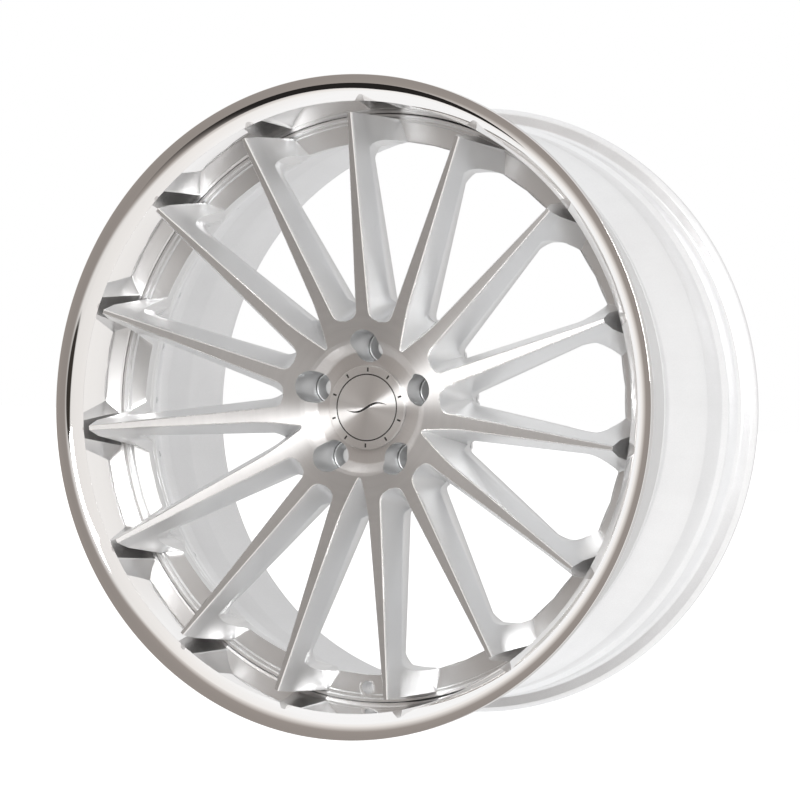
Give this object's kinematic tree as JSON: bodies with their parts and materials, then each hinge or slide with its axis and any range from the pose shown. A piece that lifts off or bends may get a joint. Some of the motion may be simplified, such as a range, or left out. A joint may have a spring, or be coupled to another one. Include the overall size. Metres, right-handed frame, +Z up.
{
  "type": "wheel rim",
  "caption": "Three-piece forged road wheel: concave tapered-spoke centre bolted from behind to a deep polished outer half and a painted inner barrel, with push-in centre cap.",
  "frame": {"origin": "middle of the rim width on the wheel axis", "axes": "+Y along the wheel axis towards the vehicle, street side towards -Y, +Z up with the valve hole at the bottom"},
  "size_m": [0.5934, 0.291, 0.5934],
  "materials": {
    "machined_face": "turned bare spoke faces under clear lacquer, silver paint on the flanks",
    "polished_lip": "mirror polished",
    "silver_paint": "fine metallic silver, satin gloss",
    "spun_cap": "radially spun, black enamel lines",
    "zinc_steel": "zinc plated",
    "spring_steel": "drawn wire",
    "black_nylon": "moulded, fine grain",
    "seal_rubber": "matt"
  },
  "bodies": {
    "rim_assembly": {"wheel_centre": "machined_face", "outer_rim_half": "polished_lip", "inner_barrel": "silver_paint", "rim_seal": "seal_rubber", "rim_bolt_01": "zinc_steel", "rim_bolt_02": "zinc_steel", "rim_bolt_03": "zinc_steel", "rim_bolt_04": "zinc_steel", "rim_bolt_05": "zinc_steel", "rim_bolt_06": "zinc_steel", "rim_bolt_07": "zinc_steel", "rim_bolt_08": "zinc_steel", "rim_bolt_09": "zinc_steel", "rim_bolt_10": "zinc_steel", "rim_bolt_11": "zinc_steel", "rim_bolt_12": "zinc_steel", "rim_bolt_13": "zinc_steel", "rim_bolt_14": "zinc_steel", "rim_bolt_15": "zinc_steel", "rim_bolt_16": "zinc_steel", "rim_bolt_17": "zinc_steel", "rim_bolt_18": "zinc_steel", "rim_bolt_19": "zinc_steel", "rim_bolt_20": "zinc_steel", "rim_bolt_21": "zinc_steel", "rim_bolt_22": "zinc_steel", "rim_bolt_23": "zinc_steel", "rim_bolt_24": "zinc_steel", "rim_bolt_25": "zinc_steel", "rim_bolt_26": "zinc_steel", "rim_bolt_27": "zinc_steel", "rim_bolt_28": "zinc_steel", "rim_bolt_29": "zinc_steel", "rim_bolt_30": "zinc_steel", "lug_seat_01": "zinc_steel", "lug_seat_02": "zinc_steel", "lug_seat_03": "zinc_steel", "lug_seat_04": "zinc_steel", "lug_seat_05": "zinc_steel"},
    "centre_cap": {"cap_body": "black_nylon", "cap_bezel": "spun_cap", "cap_medallion": "spun_cap", "cap_spring_ring": "spring_steel"},
    "hub_adapter": {"centring_ring": "black_nylon"}
  },
  "joints": [
    {"name": "cap_pull", "type": "slide", "parent": "rim_assembly", "child": "centre_cap", "axis": [0, -1, 0], "range_m": [0, 0.03]},
    {"name": "centring_ring_pull", "type": "slide", "parent": "rim_assembly", "child": "hub_adapter", "axis": [0, 1, 0], "range_m": [0, 0.02]}
  ]
}
